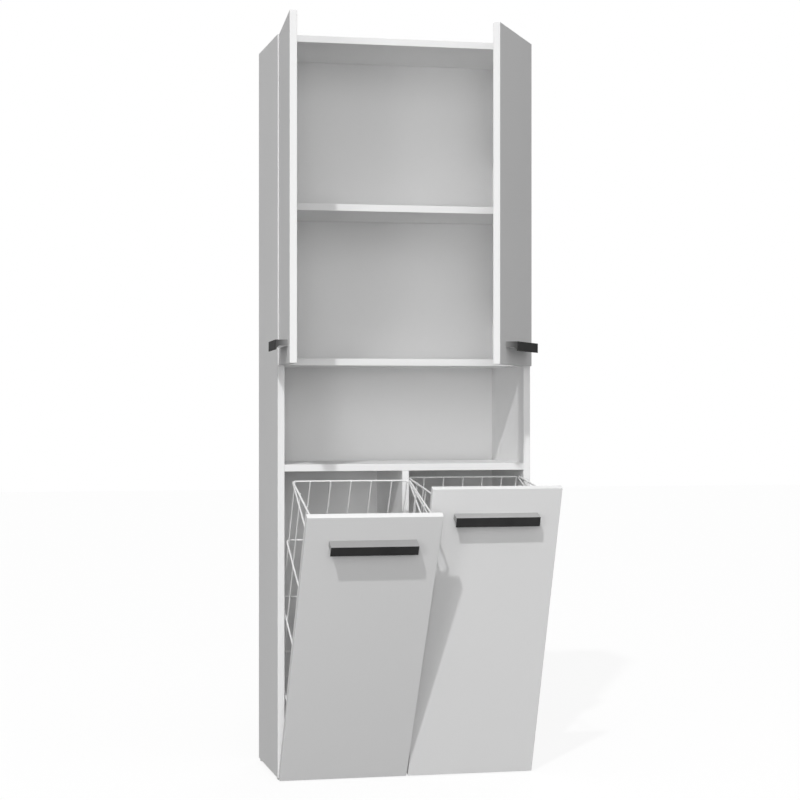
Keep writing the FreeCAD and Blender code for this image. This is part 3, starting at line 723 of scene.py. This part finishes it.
def bead(mesh, centre, normal):
    side, other = basis(normal)
    rings = []
    for share, rise in BEAD_PROFILE:
        ring = []
        for i in range(BEAD_STEPS):
            angle = 2 * math.pi * i / BEAD_STEPS
            reach = BEAD_RADIUS * share * (BEAD_MEAN + BEAD_SWELL * math.cos(BEAD_LOBES * angle))
            out = side * math.cos(angle) + other * math.sin(angle)
            ring.append(centre + out * reach + normal * rise * BEAD_HALF)
        rings.append(ring)
    skin_rings(mesh, rings, centre + normal * BEAD_HALF, centre - normal * BEAD_HALF)


def spread(start, end, gaps):
    return [start + (end - start) * i / gaps for i in range(gaps + 1)]


lap = UPRIGHT + LOOP - WELD
touch = LOOP - WELD / 2
inset = LOOP_BEND - (LOOP_BEND - lap) * math.sqrt(0.5)
for body in ("left_hamper", "right_hamper"):
    back_low, back_high = closed_box(body + "_basket_back")
    front_low = closed_box(body + "_basket_front")[0]
    x = (back_low.x + LOOP, back_high.x - LOOP)
    y = (front_low.y + 2 * RIM - LOOP, back_high.y - LOOP)
    levels = spread(back_low.z + LOOP, back_high.z - LOOP, LEVEL_GAPS)
    end_gap = END_GAP_SHARE * (x[1] - x[0])
    columns = spread(x[0] + end_gap, x[1] - end_gap, BACK_GAPS - 2)
    rows = spread(y[0] + inset, y[1] - inset, SIDE_GAPS)[1:-1]
    mesh = bmesh.new()
    for level in levels:
        for column in columns:
            for wall, way in ((y[0], 1.0), (y[1], -1.0)):
                bead(mesh, Vector((column, wall + way * touch, level)), INTO)
        for row in rows:
            for wall, way in ((x[0], 1.0), (x[1], -1.0)):
                bead(mesh, Vector((wall + way * touch, row, level)), ACROSS)
    for column in columns:
        for row in rows:
            floor_wire = levels[0] - lap - UPRIGHT + WELD / 2
            bead(mesh, Vector((column, row, floor_wire)), UP)
    piece(body + "_basket_welds", mesh, body, body + "_basket_back")


# Floor and world are white to the eye, straight or by way of metal and glass; they light the
# cabinet at a lower level
FIRST_BOUNCE = 0.5  # a ray's diffuse depth is below this until it has been scattered


def seen(tree):
    path = tree.nodes.new("ShaderNodeLightPath")

    def math_node(operation, a, b):
        node = tree.nodes.new("ShaderNodeMath")
        node.operation = operation
        tree.links.new(a, node.inputs[0])
        if isinstance(b, float):
            node.inputs[1].default_value = b
        else:
            tree.links.new(b, node.inputs[1])
        return node.outputs[0]

    rays = math_node("MAXIMUM", path.outputs["Is Camera Ray"], path.outputs["Is Glossy Ray"])
    rays = math_node("MAXIMUM", rays, path.outputs["Is Transmission Ray"])
    straight = math_node("LESS_THAN", path.outputs["Diffuse Depth"], FIRST_BOUNCE)
    return math_node("MULTIPLY", rays, straight)


# Floor, seen as white with the cabinet's faint shadow
bpy.ops.mesh.primitive_grid_add(x_subdivisions=2, y_subdivisions=2, size=FLOOR_SIZE)
floor = bpy.context.object
floor.name = "floor"
f = Finish("floor")
plain = f.add("BsdfDiffuse", {"Color": grey(FLOOR_COLOUR)})
kept = f.add("BsdfDiffuse", {"Color": grey(FLOOR_COLOUR * FLOOR_KEEP)})
glow = f.add("Emission", {"Color": grey(1.0), "Strength": FLOOR_GLOW})
shown = f.add("AddShader", {0: kept, 1: glow})
surface = f.add("MixShader", {0: seen(f.tree), 1: plain, 2: shown})
f.tree.links.new(surface, f.tree.nodes["Material Output"].inputs["Surface"])
f.tree.nodes.remove(f.surface)
floor.data.materials.append(f.material)

# World: white to the eye, and an even ambient on the cabinet
world = bpy.data.worlds.new("studio")
bpy.context.scene.world = world
world.use_nodes = True
tree = world.node_tree
tree.nodes.clear()
ambient = tree.nodes.new("ShaderNodeBackground")
ambient.inputs["Color"].default_value = grey(1.0)
ambient.inputs["Strength"].default_value = AMBIENT
white = tree.nodes.new("ShaderNodeBackground")
white.inputs["Color"].default_value = grey(1.0)
white.inputs["Strength"].default_value = 1.0
blend = tree.nodes.new("ShaderNodeMixShader")
tree.links.new(seen(tree), blend.inputs[0])
tree.links.new(ambient.outputs[0], blend.inputs[1])
tree.links.new(white.outputs[0], blend.inputs[2])
output = tree.nodes.new("ShaderNodeOutputWorld")
tree.links.new(blend.outputs[0], output.inputs["Surface"])


# Lamps
def lamp(name, kind, energy):
    light = bpy.data.objects.new(name, bpy.data.lights.new(name, kind))
    light.data.energy = energy
    bpy.context.scene.collection.objects.link(light)
    return light


def sun(name, source, strength, angle):
    light = lamp(name, "SUN", strength)
    light.data.angle = math.radians(angle)
    light.rotation_mode = "QUATERNION"
    light.rotation_quaternion = Vector(source).to_track_quat("Z", "Y")
    return light


def globe(name, place, power, radius):
    light = lamp(name, "POINT", power)
    light.data.shadow_soft_size = radius
    light.location = place
    return light


def leave_out(light, names):
    # The named nodes get no light from this lamp.
    group = bpy.data.collections.new("not_lit_by_" + light.name)
    for name in names:
        group.objects.link(nodes[name])
    light.light_linking.receiver_collection = group
    for member in group.collection_objects:
        member.light_linking.link_state = "EXCLUDE"


# The handles show the bright room alone, since lamps on them would throw patches on the fronts;
# the back panel is left out of the key light
handles = [name for name in nodes if name.endswith("_handle")]
leave_out(sun("key", KEY_FROM, KEY_STRENGTH, KEY_ANGLE), handles + ["back_panel"])
leave_out(sun("top", TOP_FROM, TOP_STRENGTH, TOP_ANGLE), handles)
leave_out(sun("back_fill", BACK_FROM, BACK_STRENGTH, BACK_ANGLE), handles)
leave_out(globe("front_fill", FRONT_PLACE, FRONT_POWER, LAMP_RADIUS), handles)
leave_out(globe("left_fill", LEFT_PLACE, LEFT_POWER, LAMP_RADIUS), handles)
leave_out(globe("high_fill", HIGH_PLACE, HIGH_POWER, HIGH_RADIUS), handles)

# Camera and view
camera = bpy.data.objects.new("camera", bpy.data.cameras.new("camera"))
camera.data.lens = CAMERA_LENS
camera.data.sensor_width = CAMERA_SENSOR
camera.location = CAMERA_PLACE
camera.rotation_euler = (math.radians(90 + CAMERA_PITCH), 0.0, math.radians(-CAMERA_YAW))
bpy.context.scene.collection.objects.link(camera)
bpy.context.scene.camera = camera
bpy.context.scene.view_settings.view_transform = "Standard"
